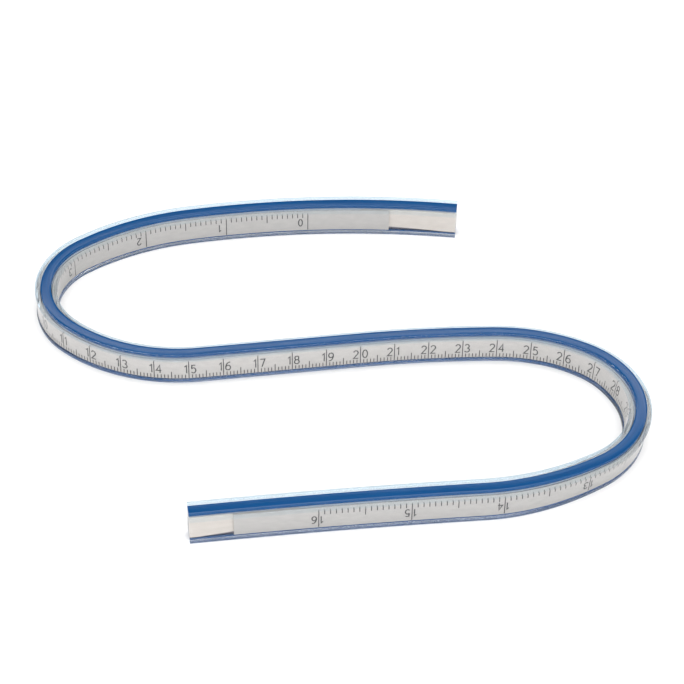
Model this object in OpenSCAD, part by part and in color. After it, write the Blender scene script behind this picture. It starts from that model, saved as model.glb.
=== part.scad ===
// Flexible curve ruler, 40 cm and 16 inch, lying on its edge and bent into an S.
// A soft clear profile with a blue rail along its top and bottom holds a lead core, two
// spring steel strips and two printed scale strips. The path is a chain of tangent arcs.
// Origin: underside of the ruler at half its length. The scales' zeros are at the top arm.
// Across the section, u is positive to the left of travel, which is the inch side.

/* [Profile] */
// Height of the profile
profile_h = 10; // [9.8:0.1:12]
// Width across the ruling lips
profile_w = 6.4; // [6.2:0.1:8]
// Height of each ruling lip
lip_h = 1.2; // [0.8:0.1:2]
// How far the lips stand out from the side walls
lip_out = 0.25; // [0.1:0.05:0.4]
// Step from each rail down to the lower of its two lips
lip_step = 0.8; // [0:0.1:1]
// Bevel on the outer corners of the lips
lip_bevel = 0.25; // [0.1:0.05:0.4]

/* [Rails] */
// Width of the blue rails
rail_w = 3.2; // [2.6:0.1:3.2]
// Height of the blue rails
rail_h = 1.1; // [0.8:0.1:1.2]

/* [Core and strips] */
// Width of the lead core
core_w = 2.5; // [1.5:0.1:2.5]
// Height of the lead core
core_h = 6.2; // [4:0.1:6.8]
// Height of the lower edge of the core and steel strips above the underside
core_z = 1.6; // [1.5:0.1:2.3]
// Thickness of the spring steel strips
spring_t = 0.2; // [0.1:0.05:0.2]
// Height of the spring steel strips
spring_h = 6.2; // [4:0.1:6.8]
// Thickness of the white end films
film_t = 0.14; // [0.05:0.01:0.14]
// Height of the white end films
film_h = 7; // [6.4:0.1:7]
// Height of the films' lower edge above the underside
film_z = 1.5; // [1.3:0.1:1.5]
// Length of the white end films
film_len = 30; // [24:1:36]
// Share of the bare end over which a film's lower edge slants
film_slant_share = 0.8; // [0.3:0.1:1]
// Height of the slanting cut at the scale strip's end
film_slant_h = 0.9; // [0:0.1:3]
// Thickness of the scale strips
scale_t = 0.4; // [0.2:0.05:0.4]
// Height of the inch strip
inch_scale_h = 7.1; // [4:0.1:7.1]
// Height of the inch strip's lower edge above the underside
inch_scale_z = 1.3; // [0.9:0.1:1.3]
// Height of the centimetre strip
cm_scale_h = 6.6; // [4:0.1:6.6]
// Height of the centimetre strip's lower edge above the underside
cm_scale_z = 1.9; // [1.5:0.1:1.9]
// Length of bare end before the scale strips at the zero end
scale_start = 21; // [16:1:24]
// Length of bare end after the scale strips at the far end
scale_end = 12; // [10:1:20]

/* [Top arm and left bend] */
// Length of the top arm
top_arm_len = 84; // [60:1:100]
// Left turn along the top arm
top_arm_turn = 19; // [5:1:25]
// Length of the easing arc into the left bend
left_entry_len = 35; // [30:1:45]
// Left turn of the easing arc into the left bend
left_entry_turn = 27; // [15:1:30]
// Length of the left bend's tight arc
left_tight_len = 42; // [42:1:60]
// Left turn of the left bend's tight arc
left_tight_turn = 98; // [60:1:98]
// Length of the easing arc out of the left bend
left_exit_len = 42; // [36:1:50]
// Left turn of the easing arc out of the left bend
left_exit_turn = 51; // [30:1:51]

/* [Middle run] */
// Direction of the middle run, left of +X
middle_heading = 10; // [0:1:20]
// Length of the straight middle stretch
middle_len = 46; // [45:1:60]
// Length of the gentle arc after the straight stretch
middle_ease_len = 40; // [30:1:50]
// Right turn of the gentle arc
middle_ease_turn = 7; // [1:1:12]

/* [Right bend and lower arm] */
// Length of the easing arc into the right bend
right_entry_len = 28; // [26:1:40]
// Right turn of the easing arc into the right bend
right_entry_turn = 32; // [20:1:32]
// Length of the right bend's tight arc
right_tight_len = 55; // [54:1:70]
// Right turn of the right bend's tight arc
right_tight_turn = 117; // [70:1:117]
// Length of the easing arc out of the right bend
right_exit_len = 36; // [30:1:45]
// Right turn of the easing arc out of the right bend
right_exit_turn = 27; // [15:1:30]
// Length of the lower arm
lower_arm_len = 80; // [70:1:95]
// Left turn along the lower arm
lower_arm_turn = 3; // [1:1:6]

/* [Flex joints] */
// Clearance left between neighbouring links when they are bent as far as they go
link_clearance = 0.03; // [0.02:0.01:0.1]

/* [Hidden] */
$fn = 180;
DEG_PER_RAD = 180 / PI;
SLIDE_FIT = 0.05;        // clearance of every strip and rail in its pocket
NEARLY_STRAIGHT = 0.05;  // a turn in degrees below which a stretch is drawn straight
CURL = 12;               // degrees that a joint of the arms can curl beyond rest
PAST_MIDDLE = 0.1;       // overlap of the section's two halves at its middle plane
PAST_EDGE = 1;           // how far a cut runs out past the edge that it opens
BAND_STEP_TURN = 2;      // turn in degrees between two points of a long band
BAND_STEP_LEN = 12;      // greatest distance between two points of a long band

// Stretches of the path in order: length, left turn, links
STRETCHES = [
    [top_arm_len, top_arm_turn, 2],
    [left_entry_len, left_entry_turn, 2],
    [left_tight_len, left_tight_turn, 5],
    [left_exit_len, left_exit_turn, 3],
    [middle_len, 0, 1],
    [middle_ease_len, -middle_ease_turn, 1],
    [right_entry_len, -right_entry_turn, 2],
    [right_tight_len, -right_tight_turn, 6],
    [right_exit_len, -right_exit_turn, 2],
    [lower_arm_len, lower_arm_turn, 2]
];
LAST = len(STRETCHES) - 1;

function sum_to(values, i) = i <= 0 ? 0 : values[i - 1] + sum_to(values, i - 1);
LENGTHS = [for (s = STRETCHES) s[0]];
TURNS = [for (s = STRETCHES) s[1]];
COUNTS = [for (s = STRETCHES) s[2]];
ruler_len = sum_to(LENGTHS, LAST + 1);
link_count = sum_to(COUNTS, LAST + 1);

// The links in order: length and left turn of each, and the station where it starts
LINKS = [for (s = STRETCHES, j = [1:s[2]]) [s[0], s[1]] / s[2]];
LINK_LENGTHS = [for (l = LINKS) l[0]];
function link_start(i) = sum_to(LINK_LENGTHS, i - 1);

// Turn from the middle of link i to the middle of the next, which straightens their joint
function joint_turn(i) = abs(LINKS[i - 1][1] + LINKS[i][1]) / 2;

// Half the slot that lets two links of this half-width turn without touching
function half_slot(i, half_width) =
    i < 1 || i >= link_count ? 0
    : half_width * tan(max(joint_turn(i), CURL) / 2) + link_clearance;

// Layers across the section, as distances from its middle plane
spring_u = core_w / 2 + SLIDE_FIT;
film_u = spring_u + spring_t + SLIDE_FIT;
channel_u = film_u + film_t + SLIDE_FIT;
scale_u = channel_u + SLIDE_FIT;
pocket_u = scale_u + scale_t + SLIDE_FIT;
wall_u = profile_w / 2 - lip_out;

function two_digits(i) = str(i < 10 ? "0" : "", i);

// ---- Path ----

// Straight distance between the ends of an arc
function chord(length, turn) =
    abs(turn) < NEARLY_STRAIGHT ? length : length * sin(turn / 2) / (turn / 2) * DEG_PER_RAD;
function step(length, turn, heading) =
    chord(length, turn) * [cos(heading + turn / 2), sin(heading + turn / 2)];

// The raw path starts at [0, 0] along +X
function raw_corner(i) =
    i <= 0 ? [0, 0] : raw_corner(i - 1) + step(LENGTHS[i - 1], TURNS[i - 1], sum_to(TURNS, i - 1));
function stretch_at(s) = max([for (i = [0:LAST]) if (sum_to(LENGTHS, i) <= s) i]);
function turn_within(i, s) = TURNS[i] * (s - sum_to(LENGTHS, i)) / LENGTHS[i];
function raw_heading(s) = sum_to(TURNS, stretch_at(s)) + turn_within(stretch_at(s), s);
function raw_point(s) =
    let (i = stretch_at(s))
    raw_corner(i) + step(s - sum_to(LENGTHS, i), turn_within(i, s), sum_to(TURNS, i));

// The ruler's path has its half-length point at the origin
MIDDLE = raw_point(ruler_len / 2);
FRAME_TURN = middle_heading - raw_heading(ruler_len / 2);
function turned(v, angle) =
    [v[0] * cos(angle) - v[1] * sin(angle), v[0] * sin(angle) + v[1] * cos(angle)];
function heading_at(s) = raw_heading(s) + FRAME_TURN;
function point_at(s) = turned(raw_point(s) - MIDDLE, FRAME_TURN);
function offset_at(s, u) = point_at(s) + u * [-sin(heading_at(s)), cos(heading_at(s))];

// Puts children at a station of the path, with +X along travel
module at_station(s) {
    p = point_at(s);
    translate([p[0], p[1], 0])
        rotate([0, 0, heading_at(s)])
            children();
}

// Sweeps a section along one arc that starts at the origin along +X
module arc_sweep(length, turn) {
    radius = abs(turn) < NEARLY_STRAIGHT ? 0 : length / abs(turn) * DEG_PER_RAD;
    if (radius == 0)
        rotate([90, 0, 90])
            linear_extrude(height = length)
                children();
    else if (turn > 0)
        translate([0, radius, 0])
            rotate([0, 0, -90])
                rotate_extrude(angle = turn)
                    translate([radius, 0])
                        mirror([1, 0])
                            children();
    else
        translate([0, -radius, 0])
            rotate([0, 0, 90 + turn])
                rotate_extrude(angle = -turn)
                    translate([radius, 0])
                        children();
}

// One link's share of a swept section, with a slot at each joint
module link_sweep(i, half_width) {
    length = LINKS[i - 1][0];
    head = half_slot(i - 1, half_width);
    share = length - head - half_slot(i, half_width);
    at_station(link_start(i) + head)
        arc_sweep(share, LINKS[i - 1][1] * share / length)
            children();
}

// Stations of a long band: both ends, and points along each stretch between them
function band_stations(from, to) = concat([from], [
    for (i = [0:LAST])
        let (n = ceil(max(abs(TURNS[i]) / BAND_STEP_TURN, LENGTHS[i] / BAND_STEP_LEN)))
        for (j = [0:n - 1])
            let (s = sum_to(LENGTHS, i) + LENGTHS[i] * j / n)
            if (s > from && s < to) s
], [to]);

// Upright band along the path between two stations, from u0 to u1 across and z0 to z1
module long_band(from, to, u0, u1, z0, z1) {
    stations = band_stations(from, to);
    n = len(stations);
    translate([0, 0, z0])
        linear_extrude(height = z1 - z0)
            polygon(concat(
                [for (i = [0:n - 1]) offset_at(stations[i], u0)],
                [for (i = [0:n - 1]) offset_at(stations[n - 1 - i], u1)]
            ));
}

// ---- Sections ----

// Rectangle from u0 to u1 and z0 to z1
module block(u0, u1, z0, z1) {
    translate([u0, z0])
        square([u1 - u0, z1 - z0]);
}

// Ruling lip on the inch side, bevelled on its outer corners
module lip(z0) {
    w = profile_w / 2;
    z1 = z0 + lip_h;
    polygon([
        [rail_w / 2, z0], [w - lip_bevel, z0], [w, z0 + lip_bevel],
        [w, z1 - lip_bevel], [w - lip_bevel, z1], [rail_w / 2, z1]
    ]);
}

module inch_side_half() {
    block(-PAST_MIDDLE, wall_u, 0, profile_h - lip_step);
    lip(0);
    lip(profile_h - lip_step - lip_h);
}

// The centimetre side is the inch side turned half a turn about the section's middle
module jacket_section() {
    difference() {
        union() {
            inch_side_half();
            translate([0, profile_h])
                rotate(180)
                    inch_side_half();
        }
        for (z = [-PAST_EDGE, profile_h - rail_h - SLIDE_FIT])
            block(-rail_w / 2 - SLIDE_FIT, rail_w / 2 + SLIDE_FIT,
                z, z + PAST_EDGE + rail_h + SLIDE_FIT);
        block(-channel_u, channel_u, film_z - SLIDE_FIT, film_z + film_h + SLIDE_FIT);
        block(channel_u - SLIDE_FIT, pocket_u,
            inch_scale_z - SLIDE_FIT, inch_scale_z + inch_scale_h + SLIDE_FIT);
        block(-pocket_u, -channel_u + SLIDE_FIT,
            cm_scale_z - SLIDE_FIT, cm_scale_z + cm_scale_h + SLIDE_FIT);
    }
}

// ---- Pieces ----

module clear_jacket(i) {
    color([0.8, 0.89, 0.94, 0.5])
        link_sweep(i, profile_w / 2)
            jacket_section();
}

module lead_core(i) {
    color("dimgray")
        link_sweep(i, core_w / 2)
            block(-core_w / 2, core_w / 2, core_z, core_z + core_h);
}

module rail(z0) {
    color([0.1, 0.34, 0.62])
        long_band(0, ruler_len, -rail_w / 2, rail_w / 2, z0, z0 + rail_h);
}

// Band on one side of the core: side is 1 for inches and -1 for centimetres
module side_band(side, from, to, u, t, z0, h) {
    u0 = side > 0 ? u : -u - t;
    long_band(from, to, u0, u0 + t, z0, z0 + h);
}

module steel_strip(side) {
    color("silver")
        side_band(side, 0, ruler_len, spring_u, spring_t, core_z, spring_h);
}

module scale_strip(side, z0, h) {
    color("whitesmoke")
        side_band(side, scale_start, ruler_len - scale_end, scale_u, scale_t, z0, h);
}

// Wedge below a film's slanting lower edge, with its tall end at the origin, along +X
module slant_cut(slant_len) {
    translate([0, profile_w, 0])
        rotate([90, 0, 0])
            linear_extrude(height = 2 * profile_w)
                polygon([
                    [-film_len, film_z - PAST_EDGE], [slant_len, film_z - PAST_EDGE],
                    [slant_len, film_z], [0, film_z + film_slant_h],
                    [-film_len, film_z + film_slant_h]
                ]);
}

// A film on each side of the core. Its lower edge rises from the bare end to the scale strip.
module end_films(from, to, scale_edge, towards) {
    bare_len = towards > 0 ? to - scale_edge : scale_edge - from;
    color("ivory")
        difference() {
            for (side = [-1, 1])
                side_band(side, from, to, film_u, film_t, film_z, film_h);
            at_station(scale_edge)
                mirror([towards > 0 ? 0 : 1, 0, 0])
                    slant_cut(bare_len * film_slant_share);
        }
}

for (i = [1:link_count]) {
    clear_jacket(i);
    lead_core(i);
}
rail(profile_h - rail_h);  // top_rail
rail(0);  // bottom_rail
steel_strip(1);  // steel_strip_inch_side
steel_strip(-1);  // steel_strip_cm_side
scale_strip(1, inch_scale_z, inch_scale_h);  // inch_scale_strip
scale_strip(-1, cm_scale_z, cm_scale_h);  // cm_scale_strip
end_films(0, film_len, scale_start, -1);  // zero_end_films
end_films(ruler_len - film_len, ruler_len, ruler_len - scale_end, 1);  // far_end_films
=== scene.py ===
"""Looks for the flexible curve ruler: clear profile, blue rails, printed scale strips, films,
lead core and steel strips, each swept along the ruler's own path.

Lengths are in millimetres until a mesh is made, and s is a station: the distance along the path
from the zero end. Across the section, u is positive on the inch side and z is up. A piece runs
from the middle of one link to the middle of the next, over one joint.
"""

import math

import bpy
import numpy as np
from mathutils import Matrix, Vector
from mathutils.geometry import tessellate_polygon


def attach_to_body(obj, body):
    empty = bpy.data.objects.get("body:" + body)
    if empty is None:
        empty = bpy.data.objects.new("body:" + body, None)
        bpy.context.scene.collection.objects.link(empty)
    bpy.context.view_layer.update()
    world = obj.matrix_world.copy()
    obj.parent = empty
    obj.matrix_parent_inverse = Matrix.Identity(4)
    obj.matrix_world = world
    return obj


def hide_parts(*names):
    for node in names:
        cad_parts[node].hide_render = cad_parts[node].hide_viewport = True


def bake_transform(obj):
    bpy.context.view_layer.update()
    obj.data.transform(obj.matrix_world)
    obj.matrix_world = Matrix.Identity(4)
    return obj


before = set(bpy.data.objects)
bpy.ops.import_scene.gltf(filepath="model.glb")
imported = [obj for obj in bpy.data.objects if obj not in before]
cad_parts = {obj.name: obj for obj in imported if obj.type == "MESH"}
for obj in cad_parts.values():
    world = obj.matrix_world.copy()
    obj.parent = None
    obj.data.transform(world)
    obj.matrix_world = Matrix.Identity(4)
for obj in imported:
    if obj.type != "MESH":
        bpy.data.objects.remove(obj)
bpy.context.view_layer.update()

MM = 0.001
TINY = 1e-6  # lengths in millimetres below this count as none

# ---------------------------------------------------------------- path

# Length, left turn in degrees and number of links of each stretch
STRETCHES = [
    (84, 19, 2), (35, 27, 2), (42, 98, 5), (42, 51, 3), (46, 0, 1),
    (40, -7, 1), (28, -32, 2), (55, -117, 6), (36, -27, 2), (80, 3, 2),
]
MIDDLE_HEADING = 10  # degrees from +X at the ruler's middle, which is the origin
LENGTHS = [s[0] for s in STRETCHES]
TURNS = [s[1] for s in STRETCHES]
STARTS = np.concatenate([[0], np.cumsum(LENGTHS)])
HEADINGS = np.concatenate([[0], np.cumsum(TURNS)])
RULER_LEN = float(STARTS[-1])
STRAIGHT_TURN = 0.05  # an arc that turns less than this in degrees is drawn straight

LINKS = [(length / n, turn / n) for length, turn, n in STRETCHES for _ in range(n)]
LINK_STARTS = np.concatenate([[0], np.cumsum([l[0] for l in LINKS])])
LINK_MIDDLES = (LINK_STARTS[1:] + LINK_STARTS[:-1]) / 2


def arc_end(length, turn, heading):
    """Where an arc that starts at the origin with this heading ends."""
    chord = length
    if abs(turn) > STRAIGHT_TURN:
        chord = length * math.sin(math.radians(turn / 2)) / math.radians(turn / 2)
    angle = math.radians(heading + turn / 2)
    return np.array([chord * math.cos(angle), chord * math.sin(angle)])


CORNERS = [np.zeros(2)]
for length, turn, heading in zip(LENGTHS, TURNS, HEADINGS):
    CORNERS.append(CORNERS[-1] + arc_end(length, turn, heading))


def raw_pose(s):
    """Point and heading in degrees at station s of the path that starts at the origin along +X."""
    i = min(int(np.searchsorted(STARTS, s, side="right")) - 1, len(STRETCHES) - 1)
    turn = TURNS[i] * (s - STARTS[i]) / LENGTHS[i]
    return CORNERS[i] + arc_end(s - STARTS[i], turn, HEADINGS[i]), HEADINGS[i] + turn


MIDDLE, MIDDLE_RAW_HEADING = raw_pose(RULER_LEN / 2)
FRAME_TURN = MIDDLE_HEADING - MIDDLE_RAW_HEADING
COS_TURN, SIN_TURN = math.cos(math.radians(FRAME_TURN)), math.sin(math.radians(FRAME_TURN))
TO_FRAME = np.array([[COS_TURN, -SIN_TURN], [SIN_TURN, COS_TURN]])


def pose_at(s):
    """Point and heading in radians at station s, in the row frame."""
    point, heading = raw_pose(s)
    return TO_FRAME @ (point - MIDDLE), math.radians(heading + FRAME_TURN)


# The tight right bend leans: its lower edge stands this far nearer to the centre of the bend.
# It starts to lean, leans fully, starts to stand up and stands upright again at these stations.
LEAN = 1.7
LEAN_STATIONS = (305, 335, 362, 405)


def lean_at(s):
    """Lean at station s, eased in and out."""
    t = float(np.interp(s, LEAN_STATIONS, (0, 1, 1, 0)))
    return LEAN * t * t * (3 - 2 * t)


def place(s, u, z):
    """The point at station s, u to the left of travel and z up, in millimetres."""
    point, heading = pose_at(s)
    u -= lean_at(s) * (1 - z / PROFILE_H)
    return (point[0] - u * math.sin(heading), point[1] + u * math.cos(heading), z)


# ---------------------------------------------------------------- stretches of a piece

STEP = 1.0  # greatest distance between two sections of a sweep


def spans():
    """(number, from, to, body, next body or None) of each stretch between two links' middles."""
    names = [f"link_{i + 1:02d}" for i in range(len(LINKS))]
    middles = [float(s) for s in LINK_MIDDLES]
    rows = [(0, 0.0, middles[0], names[0], None)]
    for i in range(len(LINKS) - 1):
        rows.append((i + 1, middles[i], middles[i + 1], names[i], names[i + 1]))
    rows.append((len(LINKS), middles[-1], RULER_LEN, names[-1], None))
    return rows


SPANS = spans()


def stations(start, end):
    n = max(1, math.ceil((end - start) / STEP))
    return [start + (end - start) * i / n for i in range(n + 1)]


def attach(obj, span):
    """Fixes a piece at an end of the ruler to its link; a piece over a joint only has its placement
    baked into its mesh.
    """
    _, start, end, body, next_body = span
    if next_body is None:
        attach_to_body(obj, body)
        return
    mid_z = PROFILE_H / 2
    a = Vector(place(start, 0, mid_z)) * MM
    b = Vector(place(end, 0, mid_z)) * MM
    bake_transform(obj)


# ---------------------------------------------------------------- mesh tools

SMOOTH_ANGLE = 40  # edges sharper than this in degrees stay sharp
INK_SLOT = 1  # material slot of the printed lines on a scale strip


class Builder:
    """Collects points and faces in ruler coordinates, then makes one mesh of them."""

    def __init__(self):
        self.points = []
        self.faces = []
        self.slots = []
        self.along = []

    def add_ring(self, s, ring):
        """One section: its points, and where each lies along the ruler and round the section."""
        first = len(self.points)
        around = 0.0
        for i, (u, z) in enumerate(ring):
            if i:
                around += math.dist(ring[i - 1], (u, z))
            self.points.append(place(s, u, z))
            self.along.append((s, around, 0.0))
        return first

    def tube(self, station_list, ring_at, inward=False, caps=(False, False), slot_at=None):
        """Joins the sections that ring_at(s) gives into a tube, with flat caps where asked.

        slot_at gives the material slot of the face over two neighbouring points of the ring.
        """
        firsts = []
        for s in station_list:
            ring = ring_at(s)
            firsts.append(self.add_ring(s, ring))
        n = len(ring)
        for a, b in zip(firsts, firsts[1:]):
            for i in range(n):
                j = (i + 1) % n
                face = (a + i, a + j, b + j, b + i)
                slot = slot_at(ring[i], ring[j]) if slot_at else 0
                self.add_face(face[::-1] if inward else face, slot)
        if caps[0]:
            self.cap([(firsts[0], ring_at(station_list[0]))], inward)
        if caps[1]:
            self.cap([(firsts[-1], ring_at(station_list[-1]))], not inward)
        return firsts

    def cap(self, loops, forward):
        """Flat face over one outline and the holes in it."""
        index = [first + i for first, ring in loops for i in range(len(ring))]
        flat = [[Vector((u, z, 0)) for u, z in ring] for _, ring in loops]
        corners = [point for loop in flat for point in loop]
        for tri in tessellate_polygon(flat):
            a, b, c = (corners[t] for t in tri)
            counter = (b - a).cross(c - a).z > 0
            face = tuple(index[t] for t in tri)
            self.add_face(face if counter == forward else face[::-1])

    def add_face(self, face, slot=0):
        self.faces.append(face)
        self.slots.append(slot)

    def stroke(self, outline, side, face_u, width):
        """Printed line: a thin raised bar along (s, z) points on a face at distance face_u."""
        path = [np.array(p, float) for p in outline]
        closed = math.dist(path[0], path[-1]) < TINY
        rings = []
        for i, p in enumerate(path):
            before = path[i - 1] if i else (path[-2] if closed else None)
            after = path[i + 1] if i + 1 < len(path) else (path[1] if closed else None)
            directions = []
            if before is not None:
                directions.append((p - before) / np.linalg.norm(p - before))
            if after is not None:
                directions.append((after - p) / np.linalg.norm(after - p))
            tangent = sum(directions)
            tangent = tangent / np.linalg.norm(tangent)
            normal = np.array([-tangent[1], tangent[0]])
            widen = 1 / max(MITRE_LIMIT, float(tangent @ directions[0]))
            offset = normal * width / 2 * widen
            first = len(self.points)
            for (s, z), u in (
                (p + offset, face_u - INK_SINK), (p + offset, face_u + INK_RISE),
                (p - offset, face_u + INK_RISE), (p - offset, face_u - INK_SINK),
            ):
                self.points.append(place(s, side * u, z))
                self.along.append((s, z, 0.0))
            rings.append(first)
        for a, b in zip(rings, rings[1:]):
            for i in range(4):
                j = (i + 1) % 4
                face = (a + i, b + i, b + j, a + j)
                self.add_face(face if side < 0 else face[::-1], INK_SLOT)
        if not closed:
            for first, flip in ((rings[0], side > 0), (rings[-1], side < 0)):
                face = tuple(first + i for i in range(4))
                self.add_face(face[::-1] if flip else face, INK_SLOT)

    def make(self, name, materials):
        mesh = bpy.data.meshes.new(name)
        mesh.from_pydata([tuple(c * MM for c in p) for p in self.points], [], self.faces)
        mesh.polygons.foreach_set("material_index", self.slots)
        grain = mesh.attributes.new("grain", "FLOAT_VECTOR", "POINT")
        grain.data.foreach_set("vector", np.array(self.along, np.float32).ravel())
        for m in materials:
            mesh.materials.append(m)
        mesh.polygons.foreach_set("use_smooth", [True] * len(mesh.polygons))
        mesh.set_sharp_from_angle(angle=math.radians(SMOOTH_ANGLE))
        mesh.validate()
        obj = bpy.data.objects.new(name, mesh)
        bpy.context.scene.collection.objects.link(obj)
        return obj


def rounded(corners, n):
    """Outline from (u, z, radius) corners, with an arc of n steps at each rounded corner."""
    out = []
    count = len(corners)
    for i, (u, z, r) in enumerate(corners):
        p = np.array([u, z], float)
        if r <= 0:
            out.append((u, z))
            continue
        back = np.array(corners[i - 1][:2], float) - p
        ahead = np.array(corners[(i + 1) % count][:2], float) - p
        back /= np.linalg.norm(back)
        ahead /= np.linalg.norm(ahead)
        half = math.acos(max(-1.0, min(1.0, float(back @ ahead)))) / 2
        middle = back + ahead
        middle /= np.linalg.norm(middle)
        centre = p + middle * r / math.sin(half)
        start = p + back * r / math.tan(half) - centre
        end = p + ahead * r / math.tan(half) - centre
        sweep = math.atan2(start[0] * end[1] - start[1] * end[0], float(start @ end))
        for k in range(n + 1):
            a = sweep * k / n
            out.append((
                centre[0] + start[0] * math.cos(a) - start[1] * math.sin(a),
                centre[1] + start[0] * math.sin(a) + start[1] * math.cos(a),
            ))
    return out


# ---------------------------------------------------------------- sizes of the section

# H is a height, W a width, T a thickness, R a radius, Z a lower edge, LEN a length along the
# ruler and U how far a face lies from the middle of the section

PROFILE_H, PROFILE_W = 10.0, 6.4
LIP_H, LIP_OUT, LIP_STEP = 1.2, 0.25, 0.8
RAIL_W, RAIL_H = 3.2, 1.1
CORE_W, CORE_H, CORE_Z = 2.5, 6.2, 1.6
CORE_R = 0.3
SPRING_T = 0.2
FILM_T, FILM_H, FILM_Z, FILM_LEN = 0.14, 7.0, 1.5, 30.0
# The film's lower edge rises this far over this share of the stretch that the strips leave bare
FILM_SLANT_H, FILM_SLANT_SHARE = 0.9, 0.8
SCALE_T = 0.4
INCH_SCALE_Z, INCH_SCALE_H = 1.3, 7.1
CM_SCALE_Z, CM_SCALE_H = 1.9, 6.6
SCALE_START, SCALE_END = 21.0, 12.0  # bare stretch at the zero end and at the far end
FIT = 0.05  # clearance between two neighbours in the CAD

SPRING_U = CORE_W / 2 + FIT
FILM_U = SPRING_U + SPRING_T + FIT
SCALE_U = FILM_U + FILM_T + 2 * FIT  # the film and the scale strip have one clearance each
SCALE_FACE_U = SCALE_U + SCALE_T
WALL_U = PROFILE_W / 2 - LIP_OUT

# The blue rails are moulded onto the clear plastic, and it hugs what lies inside, so every piece
# reaches a hair into it and no layer of air is left between
CONTACT = 0.02
GROOVE_U = RAIL_W / 2 - CONTACT
GROOVE_Z = RAIL_H - CONTACT

# From and to of the two stretches that have a film
FILMED = ((0.0, FILM_LEN), (RULER_LEN - FILM_LEN, RULER_LEN))

# Printed lines stand this far above the strip and reach this far into it
INK_RISE, INK_SINK = 0.015, 0.02
MITRE_LIMIT = 0.5  # least cosine with which a bend in a stroke is widened

LIP_TIP_R, LIP_STEP_R, LIP_ROOT_R = 0.3, 0.28, 0.15  # rounding of the lips' corners
LIP_SLOPE = 0.8  # rise of the lips' sloping side, as a share of how far they stand out
STRIP_R, SPRING_R = 0.06, 0.05  # rounding of the scale strips and the steel strips
RAIL_CROWN = 0.02
RAIL_CROWN_SHARE = 0.86  # share of a rail's width that is crowned, before the corners curve away
RAIL_CORNER = ((0.94, 0.075), (0.98, 0.15), (1.0, 0.26))  # share of half the width, and height


def box_ring(u0, u1, z0, z1, r=0.0):
    return rounded([(u0, z0, r), (u1, z0, r), (u1, z1, r), (u0, z1, r)], 2)


def opposite(ring):
    """The same outline turned half a turn about the section's middle."""
    return [(-u, PROFILE_H - z) for u, z in ring]


def rail_ring():
    """Bottom rail: flat inside, rounded corners outside and a shallow crown."""
    w = RAIL_W / 2
    shares = np.linspace(-RAIL_CROWN_SHARE, RAIL_CROWN_SHARE, 9)
    outside = [(w * t, RAIL_CROWN * t * t) for t in shares]
    corner = [(w * t, z) for t, z in RAIL_CORNER]
    opposite_corner = [(-u, z) for u, z in reversed(corner)]
    return [(w, RAIL_H), (-w, RAIL_H)] + opposite_corner + outside + corner


def clear_half():
    """Inch side of the clear profile, from the bottom groove round to the top groove."""
    w = PROFILE_W / 2
    top = PROFILE_H - LIP_STEP
    slope = LIP_OUT * LIP_SLOPE
    return rounded([
        (-GROOVE_U, GROOVE_Z, 0), (GROOVE_U, GROOVE_Z, 0), (GROOVE_U, 0, 0),
        (w, 0, LIP_TIP_R), (w, LIP_H, LIP_STEP_R), (WALL_U, LIP_H + slope, LIP_ROOT_R),
        (WALL_U, top - LIP_H - slope, LIP_ROOT_R), (w, top - LIP_H, LIP_STEP_R),
        (w, top, LIP_TIP_R), (GROOVE_U, top, 0),
    ], 3)


def clear_outside():
    """The centimetre side is the inch side turned half a turn."""
    inch = clear_half()
    return inch + opposite(inch)


def lip_slot(p, q):
    """1 for the faces level with the upper lips and 0 for the rest of the clear plastic."""
    return int(min(p[1], q[1]) > PROFILE_H - LIP_STEP - LIP_H - CONTACT)


def film_ring(s, side, inset=0.0):
    """Film beside the core. Its lower edge rises from the ruler's end to the scale strip."""
    at_zero_end = s < RULER_LEN / 2
    bare = SCALE_START if at_zero_end else SCALE_END
    from_strip = bare - (s if at_zero_end else RULER_LEN - s)
    rise = FILM_SLANT_H * min(1.0, max(0.0, 1 - from_strip / (bare * FILM_SLANT_SHARE)))
    u0, u1 = sorted((side * (FILM_U + inset), side * (FILM_U + FILM_T - inset)))
    return box_ring(u0, u1, FILM_Z + rise + inset, FILM_Z + FILM_H - inset)


def strip_ring(side, z, height, inset=0.0, r=0.0):
    u0, u1 = sorted((side * (SCALE_U + inset), side * (SCALE_FACE_U - inset)))
    return box_ring(u0, u1, z + inset, z + height - inset, r)


def hollows():
    """(from, to, ring_at) of each hollow in the clear plastic, which hugs what lies inside it."""
    wall = SPRING_U + SPRING_T - CONTACT
    core = box_ring(-wall, wall, CORE_Z + CONTACT, CORE_Z + CORE_H - CONTACT)
    found = [(0.0, RULER_LEN, lambda s: core)]
    for side, z, height in ((1, INCH_SCALE_Z, INCH_SCALE_H), (-1, CM_SCALE_Z, CM_SCALE_H)):
        strip = strip_ring(side, z, height, CONTACT)
        found.append((SCALE_START, RULER_LEN - SCALE_END, lambda s, strip=strip: strip))
        for start, end in FILMED:
            found.append((start, end, lambda s, side=side: film_ring(s, side, CONTACT)))
    return found


# ---------------------------------------------------------------- materials


def material(name):
    m = bpy.data.materials.new(name)
    m.use_nodes = True
    nodes = m.node_tree.nodes
    nodes.clear()
    out = nodes.new("ShaderNodeOutputMaterial")
    shader = nodes.new("ShaderNodeBsdfPrincipled")
    m.node_tree.links.new(shader.outputs[0], out.inputs["Surface"])
    return m, shader


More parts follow.
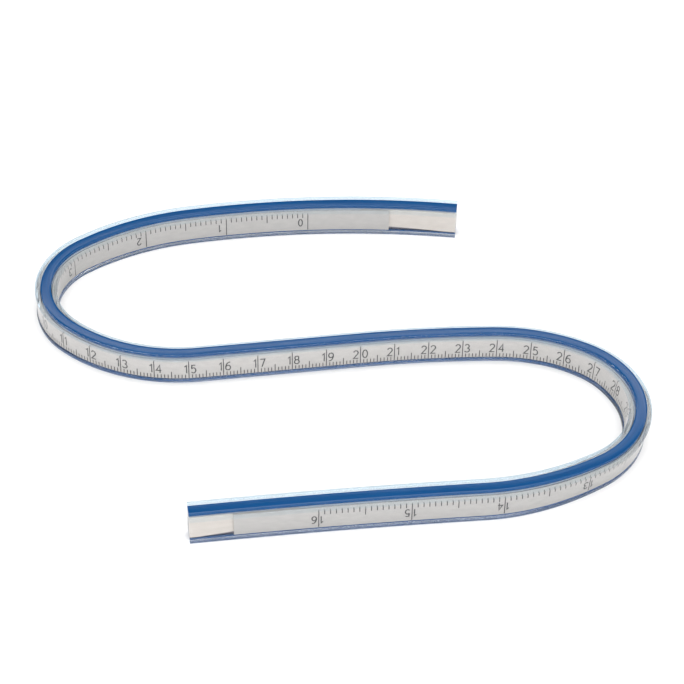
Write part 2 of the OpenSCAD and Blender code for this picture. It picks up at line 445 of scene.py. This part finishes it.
def grain_noise(m, along, around, detail=3.0, seed=0.0):
    """Noise that runs along the ruler: cycles per millimetre along it and round the section."""
    nt = m.node_tree
    grain = nt.nodes.new("ShaderNodeAttribute")
    grain.attribute_name = "grain"
    scale = nt.nodes.new("ShaderNodeVectorMath")
    scale.operation = "MULTIPLY_ADD"
    scale.inputs[1].default_value = (along, around, 1.0)
    scale.inputs[2].default_value = (0.0, 0.0, seed)
    noise = nt.nodes.new("ShaderNodeTexNoise")
    noise.inputs["Scale"].default_value = 1.0
    noise.inputs["Detail"].default_value = detail
    nt.links.new(grain.outputs["Vector"], scale.inputs[0])
    nt.links.new(scale.outputs[0], noise.inputs["Vector"])
    return noise.outputs["Fac"]


def ramp(m, value, low, high):
    """Colour that goes from low to high over the middle of the noise's range."""
    node = m.node_tree.nodes.new("ShaderNodeValToRGB")
    node.color_ramp.elements[0].position = 0.35
    node.color_ramp.elements[1].position = 0.65
    node.color_ramp.elements[0].color = (*low, 1)
    node.color_ramp.elements[1].color = (*high, 1)
    m.node_tree.links.new(value, node.inputs["Fac"])
    return node.outputs["Color"]


def spread(m, value, low, high):
    """Number that goes from low to high over the whole of the noise's range."""
    node = m.node_tree.nodes.new("ShaderNodeMapRange")
    node.inputs["To Min"].default_value = low
    node.inputs["To Max"].default_value = high
    m.node_tree.links.new(value, node.inputs["Value"])
    return node.outputs["Result"]


def bump(m, shader, value, height):
    """Surface relief in millimetres."""
    node = m.node_tree.nodes.new("ShaderNodeBump")
    node.inputs["Distance"].default_value = height * MM
    m.node_tree.links.new(value, node.inputs["Height"])
    m.node_tree.links.new(node.outputs["Normal"], shader.inputs["Normal"])


def mix_shaders(m, factor, first, second):
    node = m.node_tree.nodes.new("ShaderNodeMixShader")
    if factor is not None:
        m.node_tree.links.new(factor, node.inputs["Fac"])
    m.node_tree.links.new(first, node.inputs[1])
    m.node_tree.links.new(second, node.inputs[2])
    return node


def blue_pvc():
    m, shader = material("blue_pvc")
    link = m.node_tree.links.new
    streaks = grain_noise(m, 0.04, 2.5, 4.0)
    link(ramp(m, streaks, (0.002, 0.055, 0.18), (0.004, 0.069, 0.216)), shader.inputs["Base Color"])
    link(spread(m, grain_noise(m, 0.15, 5.0, 2.0, 7.0), 0.08, 0.14), shader.inputs["Roughness"])
    bump(m, shader, streaks, 0.01)
    shader.inputs["IOR"].default_value = 1.5
    return m


def clear_pvc(name, straight):
    """Soft clear PVC, a little milky. Lamps shine straight through it onto the strips.

    Straight is the share of what lies behind it that is seen through it without bending.
    """
    m, shader = material(name)
    nt = m.node_tree
    link = nt.links.new
    cloud = grain_noise(m, 0.05, 1.5, 3.0, 3.0)
    tint = ramp(m, cloud, (0.93, 0.965, 0.985), (0.955, 0.98, 0.995))
    link(tint, shader.inputs["Base Color"])
    link(spread(m, grain_noise(m, 0.1, 4.0, 2.0, 5.0), 0.02, 0.09), shader.inputs["Roughness"])
    shader.inputs["Transmission Weight"].default_value = 1.0
    shader.inputs["IOR"].default_value = 1.4
    bump(m, shader, grain_noise(m, 0.06, 2.0, 3.0, 9.0), 0.005)
    haze = nt.nodes.new("ShaderNodeBsdfTranslucent")
    haze.inputs["Color"].default_value = (0.84, 0.90, 0.96, 1)
    milky = mix_shaders(m, None, shader.outputs[0], haze.outputs[0])
    link(spread(m, grain_noise(m, 0.2, 1.0, 3.0, 11.0), 0.02, 0.08), milky.inputs["Fac"])
    unbent = nt.nodes.new("ShaderNodeBsdfTransparent")
    unbent.inputs["Color"].default_value = (0.82, 0.93, 1.0, 1)
    seen = mix_shaders(m, None, milky.outputs[0], unbent.outputs[0])
    seen.inputs["Fac"].default_value = straight
    paths = nt.nodes.new("ShaderNodeLightPath")
    either = nt.nodes.new("ShaderNodeMath")
    either.operation = "MAXIMUM"
    link(paths.outputs["Is Shadow Ray"], either.inputs[0])
    link(paths.outputs["Is Diffuse Ray"], either.inputs[1])
    see_through = nt.nodes.new("ShaderNodeBsdfTransparent")
    see_through.inputs["Color"].default_value = (0.97, 0.975, 0.98, 1)
    surface = mix_shaders(m, either.outputs[0], seen.outputs[0], see_through.outputs[0])
    link(surface.outputs[0], nt.nodes["Material Output"].inputs["Surface"])
    return m


def white_sheet(name, low, high, rough):
    m, shader = material(name)
    mottle = grain_noise(m, 0.35, 0.8, 5.0, 2.0)
    m.node_tree.links.new(ramp(m, mottle, low, high), shader.inputs["Base Color"])
    m.node_tree.links.new(spread(m, mottle, rough, rough + 0.15), shader.inputs["Roughness"])
    bump(m, shader, grain_noise(m, 3.0, 3.0, 3.0, 4.0), 0.004)
    return m


def print_ink():
    m, shader = material("print_ink")
    patchy = grain_noise(m, 4.0, 4.0, 2.0)
    colour = ramp(m, patchy, (0.022, 0.022, 0.025), (0.045, 0.043, 0.045))
    m.node_tree.links.new(colour, shader.inputs["Base Color"])
    shader.inputs["Roughness"].default_value = 0.6
    return m


def metal(name, low, high, rough, along, around, metallic, painted_glow=0.0):
    """Metal with grain along the ruler.

    The glow strength is painted light: a bluish glow that stands in for the light the milky plastic
    round it scatters over it.
    """
    m, shader = material(name)
    # Painted light: a bluish glow, so these faces look lit where they lie in shade
    shader.inputs["Emission Color"].default_value = (0.86, 0.93, 1.0, 1)
    shader.inputs["Emission Strength"].default_value = painted_glow
    marks = grain_noise(m, along, around, 5.0)
    m.node_tree.links.new(ramp(m, marks, low, high), shader.inputs["Base Color"])
    m.node_tree.links.new(spread(m, marks, rough, rough + 0.2), shader.inputs["Roughness"])
    shader.inputs["Metallic"].default_value = metallic
    bump(m, shader, marks, 0.01)
    return m


BLUE = blue_pvc()
CLEAR = clear_pvc("clear_pvc", 0.0)
CLEAR_LIP = clear_pvc("clear_pvc_lip", 0.65)
INCH_WHITE = white_sheet("inch_scale_white", (0.413, 0.394, 0.38), (0.45, 0.43, 0.413), 0.35)
CM_WHITE = white_sheet("cm_scale_white", (0.475, 0.45, 0.432), (0.518, 0.492, 0.47), 0.35)
FILM = white_sheet("film_white", (0.545, 0.497, 0.455), (0.59, 0.54, 0.497), 0.4)
INK = print_ink()
LEAD = metal("lead", (0.22, 0.225, 0.235), (0.34, 0.345, 0.355), 0.45, 0.3, 1.5, metallic=0.7)
# Lighter, glowing copy of the lead for the core's top face: painted light over the shade under the top
# rail
LEAD_TOP_PAINTED_LIGHT = metal("lead_top_painted_light", (0.6, 0.605, 0.615), (0.7, 0.705, 0.715), 0.6, 0.3, 1.5,
                 metallic=0.1, painted_glow=0.3)
STEEL = metal("spring_steel", (0.12, 0.115, 0.15), (0.2, 0.19, 0.23), 0.3, 0.05, 6.0, metallic=1.0)
# Lighter, glowing copy of the steel for the strips' tops: painted light over the shade under the top
# rail
STEEL_TOP_PAINTED_LIGHT = metal("steel_top_painted_light", (0.3, 0.3, 0.33), (0.4, 0.4, 0.43), 0.35, 0.05, 6.0,
                  metallic=0.8, painted_glow=0.5)

# ---------------------------------------------------------------- numerals


def arc(cx, cy, rx, ry, start, end, n=14):
    """Points of an ellipse's arc, with the angles in degrees."""
    angles = np.radians(np.linspace(start, end, n + 1))
    return [(cx + rx * math.cos(a), cy + ry * math.sin(a)) for a in angles]


SIX_BOWL = arc(0.23, 0.3, 0.23, 0.3, 90, 450)
SIX_STEM = arc(0.38, 0.31, 0.38, 0.69, 80, 180, 10)
# Strokes of each numeral, on a field 1 high
NUMERALS = {
    "0": [arc(0.23, 0.5, 0.23, 0.5, 90, 450, 20)],
    "1": [[(0.0, 0.8), (0.19, 1.0), (0.19, 0.0)]],
    "2": [arc(0.23, 0.73, 0.22, 0.27, 165, -35, 10) + [(0.0, 0.0), (0.47, 0.0)]],
    "3": [arc(0.21, 0.755, 0.2, 0.245, 155, -90, 10), arc(0.21, 0.26, 0.24, 0.26, 90, -155, 10)],
    "4": [[(0.36, 0.0), (0.36, 1.0), (0.0, 0.3), (0.49, 0.3)]],
    "5": [[(0.43, 1.0), (0.09, 1.0), (0.05, 0.53)], arc(0.22, 0.33, 0.23, 0.33, 140, -145, 12)],
    "6": [SIX_BOWL, SIX_STEM],
    "7": [[(0.0, 1.0), (0.46, 1.0), (0.17, 0.0)]],
    "8": [arc(0.23, 0.755, 0.19, 0.245, 90, 450), arc(0.23, 0.265, 0.23, 0.265, 90, 450)],
    "9": [[(0.46 - x, 1 - y) for x, y in stroke] for stroke in (SIX_BOWL, SIX_STEM)],
}


# A station every quarter of a millimetre, and how far the path has turned at each, in radians
FACE_STATIONS = np.linspace(0, RULER_LEN, int(4 * RULER_LEN) + 1)
HEADING_RUN = np.array([pose_at(s)[1] for s in FACE_STATIONS])
HEADING_RUN -= HEADING_RUN[0]


class Scale:
    """One printed strip: side is 1 for inches and -1 for centimetres.

    Zero is a distance along the strip's outer face from the zero end of the ruler. A unit is
    split into parts, and the scale has count units. Lines are the heights at which every line
    starts, and where a short, a middle and a long one end. Digit is the height of a digit's foot
    and its own height. All heights are from the strip's ticked edge.
    """

    def __init__(self, side, strip, zero, unit, count, parts, lines, digit):
        self.side = side
        self.low_z, self.height = strip
        self.zero = zero
        self.unit = unit
        self.count = count
        self.parts = parts
        self.margin, self.short, self.half, self.full = lines
        self.digit_low, self.digit_h = digit
        self.face_run = FACE_STATIONS - side * SCALE_FACE_U * HEADING_RUN

    def station(self, distance):
        """Station where the strip's outer face has run this far past its zero."""
        return float(np.interp(self.zero + distance, self.face_run, FACE_STATIONS))

    def up(self, height):
        """z of a height above the strip's ticked edge. The inch strip is printed upside down."""
        return self.low_z + height if self.side < 0 else self.low_z + self.height - height


INCH = Scale(side=1, strip=(INCH_SCALE_Z, INCH_SCALE_H), zero=46.04, unit=25.4, count=16,
             parts=16, lines=(0.7, 2.2, 3.5, 6.9), digit=(2.8, 2.6))
CM = Scale(side=-1, strip=(CM_SCALE_Z, CM_SCALE_H), zero=57.09, unit=10.0, count=40,
           parts=10, lines=(0.1, 1.45, 2.6, 6.3), digit=(2.0, 3.0))

LINE_W, DIGIT_W = 0.27, 0.36
LINE_STEPS = 3  # pieces in a line, so that it can follow the lean
DIGIT_GAP = 0.65  # from a long line to the figures that straddle it
BESIDE_GAP = 1.7  # from a long line to a single figure


def tick_marks(scale):
    """(distance, outline, width) of each line of the scale."""
    for i in range(scale.count * scale.parts + 1):
        if i % scale.parts == 0:
            top = scale.full
        elif i % scale.parts == scale.parts // 2:
            top = scale.half
        else:
            top = scale.short
        rise = top - scale.margin
        outline = [(0, scale.margin + rise * k / LINE_STEPS) for k in range(LINE_STEPS + 1)]
        yield i * scale.unit / scale.parts, outline, LINE_W


def numeral_marks(scale):
    """(distance, outline, width) of each stroke of the numerals.

    Two figures straddle their line, and a single one stands beside it.
    """
    size = scale.digit_h
    for number in range(scale.count + 1):
        text = str(number)
        widths = [max(x for stroke in NUMERALS[c] for x, _ in stroke) * size for c in text]
        lefts = (BESIDE_GAP,) if len(text) == 1 else (-DIGIT_GAP - widths[0], DIGIT_GAP)
        for char, left in zip(text, lefts):
            for stroke in NUMERALS[char]:
                outline = [(left + x * size, scale.digit_low + y * size) for x, y in stroke]
                yield number * scale.unit, outline, DIGIT_W


def print_scale(builder, scale, start, end):
    """Adds every printed stroke whose middle lies on this stretch of the strip."""
    for marks in (tick_marks(scale), numeral_marks(scale)):
        for distance, outline, width in marks:
            middle = scale.station(distance + (outline[0][0] + outline[-1][0]) / 2)
            if not start <= middle < end:
                continue
            on_strip = [(scale.station(distance + x), scale.up(y)) for x, y in outline]
            builder.stroke(on_strip, scale.side, SCALE_FACE_U, width)


# ---------------------------------------------------------------- pieces


def core_top_slot(p, q):
    """1 for the upper faces of the core and steel strips, which get the lighter copies with painted
    light, and 0 for their other faces.
    """
    return int(min(p[1], q[1]) > CORE_Z + CORE_H - CORE_R - CONTACT)


def swept(name, span, rings, materials, nodes):
    """A piece of constant section. A second material, a lighter copy with painted light, is for the
    top of the core and strips.
    """
    builder = Builder()
    slot_at = core_top_slot if len(materials) > 1 else None
    for ring in rings:
        builder.tube(stations(span[1], span[2]), lambda s, ring=ring: ring,
                     caps=(True, True), slot_at=slot_at)
    obj = builder.make(f"{name}_{span[0]:02d}", materials)
    attach(obj, span)
    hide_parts(*nodes)


def link_nodes(prefix, span):
    """The CAD links under a span."""
    return [f"{prefix}_{i:02d}" for i in (span[0], span[0] + 1) if 1 <= i <= len(LINKS)]


def clear_profile(span):
    """The clear extrusion with its hollows, open only where two stretches meet."""
    start, end = span[1], span[2]
    builder = Builder()
    outer = clear_outside()
    outside = builder.tube(stations(start, end), lambda s: outer, slot_at=lip_slot)
    first_loops, last_loops = [(outside[0], outer)], [(outside[-1], outer)]
    for hollow_start, hollow_end, ring_at in hollows():
        a, b = max(start, hollow_start), min(end, hollow_end)
        if b - a < TINY:
            continue
        closed = (a == hollow_start > 0, b == hollow_end < RULER_LEN)
        inside = builder.tube(stations(a, b), ring_at, inward=True, caps=closed)
        if a <= 0:
            first_loops.append((inside[0], ring_at(a)))
        if b >= RULER_LEN:
            last_loops.append((inside[-1], ring_at(b)))
    if start <= 0:
        builder.cap(first_loops, False)
    if end >= RULER_LEN:
        builder.cap(last_loops, True)
    obj = builder.make(f"clear_profile_{span[0]:02d}", [CLEAR, CLEAR_LIP])
    attach(obj, span)
    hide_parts(*link_nodes("clear_jacket", span))


def scale_strip(span, scale, white, name, node):
    a, b = max(span[1], SCALE_START), min(span[2], RULER_LEN - SCALE_END)
    if b - a < TINY:
        return
    builder = Builder()
    ring = strip_ring(scale.side, scale.low_z, scale.height, r=STRIP_R)
    builder.tube(stations(a, b), lambda s: ring, caps=(True, True))
    print_scale(builder, scale, a, b)
    obj = builder.make(f"{name}_{span[0]:02d}", [white, INK])
    attach(obj, span)
    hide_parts(node)


def end_film(span, film, side, name, node):
    a, b = max(span[1], film[0]), min(span[2], film[1])
    if b - a < TINY:
        return
    builder = Builder()
    builder.tube(stations(a, b), lambda s: film_ring(s, side), caps=(True, True))
    obj = builder.make(f"{name}_{span[0]:02d}", [FILM])
    attach(obj, span)
    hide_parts(node)


def make_pieces():
    bottom = rail_ring()
    core = box_ring(-CORE_W / 2, CORE_W / 2, CORE_Z, CORE_Z + CORE_H, CORE_R)
    springs = [box_ring(u, u + SPRING_T, CORE_Z, CORE_Z + CORE_H, SPRING_R)
               for u in (SPRING_U, -SPRING_U - SPRING_T)]
    for span in SPANS:
        clear_profile(span)
        swept("bottom_rail", span, [bottom], [BLUE], ["bottom_rail"])
        swept("top_rail", span, [opposite(bottom)], [BLUE], ["top_rail"])
        swept("lead_core", span, [core], [LEAD, LEAD_TOP_PAINTED_LIGHT], link_nodes("lead_core", span))
        swept("steel_strips", span, springs, [STEEL, STEEL_TOP_PAINTED_LIGHT],
              ["steel_strip_inch_side", "steel_strip_cm_side"])
        scale_strip(span, INCH, INCH_WHITE, "inch_scale", "inch_scale_strip")
        scale_strip(span, CM, CM_WHITE, "cm_scale", "cm_scale_strip")
        for side, label in ((1, "inch_side"), (-1, "cm_side")):
            for film, where in zip(FILMED, ("zero_end", "far_end")):
                end_film(span, film, side, f"{where}_film_{label}", f"{where}_films")


make_pieces()

# ---------------------------------------------------------------- floor, light and camera

FLOOR_GAP = 0.1  # air under the ruler, so that its underside reflects as plastic in air does
FLOOR_HALF = 3.0  # metres, as are all positions and sizes from here on


def plain_floor():
    mesh = bpy.data.meshes.new("floor")
    half, z = FLOOR_HALF, -FLOOR_GAP * MM
    corners = [(-half, -half, z), (half, -half, z), (half, half, z), (-half, half, z)]
    mesh.from_pydata(corners, [], [(0, 1, 2, 3)])
    floor = bpy.data.objects.new("floor", mesh)
    bpy.context.scene.collection.objects.link(floor)
    m, shader = material("floor_white")
    shader.inputs["Base Color"].default_value = (0.92, 0.92, 0.92, 1)
    shader.inputs["Roughness"].default_value = 0.9
    shader.inputs["Specular IOR Level"].default_value = 0.0
    mesh.materials.append(m)


def area_light(name, position, size, power):
    """Soft lamp that shines at the origin."""
    light = bpy.data.lights.new(name, "AREA")
    light.shape = "RECTANGLE"
    light.size, light.size_y = size
    light.energy = power
    obj = bpy.data.objects.new(name, light)
    bpy.context.scene.collection.objects.link(obj)
    obj.location = position
    obj.rotation_euler = (-Vector(position)).to_track_quat("-Z", "Y").to_euler()


SKY = 1.0  # brightness of the even white light
BRIGHT = 1.3  # brightness of the background as seen through the clear plastic
DIM, BAND = 0.06, 3.6  # brightness of the room that is mirrored and of the light band round it
# How high a mirrored ray goes (z of its direction) and how bright the room is there
ROOM = ((0.0, DIM), (0.640, DIM), (0.652, BAND), (0.667, BAND), (0.680, DIM), (0.85, DIM), (0.95, SKY))


def studio_world():
    """Even white light, but what is mirrored is a dim room with a light band and ceiling."""
    world = bpy.data.worlds.new("studio")
    world.use_nodes = True
    nt = world.node_tree
    direction = nt.nodes.new("ShaderNodeTexCoord")
    height = nt.nodes.new("ShaderNodeSeparateXYZ")
    room = nt.nodes.new("ShaderNodeValToRGB")
    elements = room.color_ramp.elements
    elements[0].position, elements[1].position = ROOM[0][0], ROOM[-1][0]
    for at, _ in ROOM[1:-1]:
        elements.new(at)
    for element, (_, light) in zip(elements, ROOM):
        element.color = (light, light, light, 1)
    paths = nt.nodes.new("ShaderNodeLightPath")
    mirrored = nt.nodes.new("ShaderNodeMath")
    mirrored.operation = "SUBTRACT"
    mirrored.use_clamp = True
    choose = nt.nodes.new("ShaderNodeMix")
    choose.data_type = "RGBA"
    choose.inputs["A"].default_value = (SKY, SKY, SKY, 1)
    link = nt.links.new
    link(direction.outputs["Generated"], height.inputs[0])
    link(height.outputs["Z"], room.inputs["Fac"])
    link(paths.outputs["Is Glossy Ray"], mirrored.inputs[0])
    link(paths.outputs["Is Transmission Ray"], mirrored.inputs[1])
    link(mirrored.outputs[0], choose.inputs["Factor"])
    link(room.outputs["Color"], choose.inputs["B"])
    through = nt.nodes.new("ShaderNodeMix")
    through.data_type = "RGBA"
    through.inputs["B"].default_value = (BRIGHT, BRIGHT, BRIGHT, 1)
    link(paths.outputs["Is Transmission Ray"], through.inputs["Factor"])
    link(choose.outputs["Result"], through.inputs["A"])
    link(through.outputs["Result"], nt.nodes["Background"].inputs["Color"])
    return world


def studio():
    scene = bpy.context.scene
    scene.view_settings.view_transform = "Standard"
    # Light is followed far enough to cross all the clear walls
    scene.cycles.max_bounces = 24
    scene.cycles.glossy_bounces = 16
    scene.cycles.transmission_bounces = 24
    scene.cycles.transparent_max_bounces = 32
    scene.world = studio_world()
    area_light("top_softbox", position=(0.0, -0.1, 0.9), size=(0.9, 0.9), power=3.6)
    area_light("front_softbox", position=(0.25, -1.0, 0.5), size=(0.8, 0.5), power=3.4)


# Camera at the photo's viewing angle: degrees, metres, and lens and sensor in millimetres
CAMERA_DOWN, CAMERA_AROUND, CAMERA_ROLL = 41.32, 0.7, 1.09
CAMERA_DISTANCE = 0.6891
CAMERA_TARGET = (0.0004, 0.0098, 0.0)
CAMERA_LENS, CAMERA_SENSOR = 122.7, 36


def photo_camera():
    """Looks along +Y and down, from straight in front of the ruler."""
    elevation = math.radians(CAMERA_DOWN)
    azimuth = math.radians(CAMERA_AROUND)
    roll = math.radians(CAMERA_ROLL)
    right = Vector((math.cos(azimuth), math.sin(azimuth), 0))
    level = math.cos(elevation)
    ahead = Vector((-math.sin(azimuth) * level, math.cos(azimuth) * level, -math.sin(elevation)))
    up = right.cross(ahead)
    tilted_right = right * math.cos(roll) + up * math.sin(roll)
    tilted_up = up * math.cos(roll) - right * math.sin(roll)
    camera = bpy.data.cameras.new("camera")
    camera.sensor_width = CAMERA_SENSOR
    camera.lens = CAMERA_LENS
    camera.clip_start = 0.01
    obj = bpy.data.objects.new("camera", camera)
    bpy.context.scene.collection.objects.link(obj)
    axes = Matrix((tilted_right, tilted_up, -ahead)).transposed().to_4x4()
    obj.matrix_world = Matrix.Translation(Vector(CAMERA_TARGET) - ahead * CAMERA_DISTANCE) @ axes
    bpy.context.scene.camera = obj


plain_floor()
studio()
photo_camera()
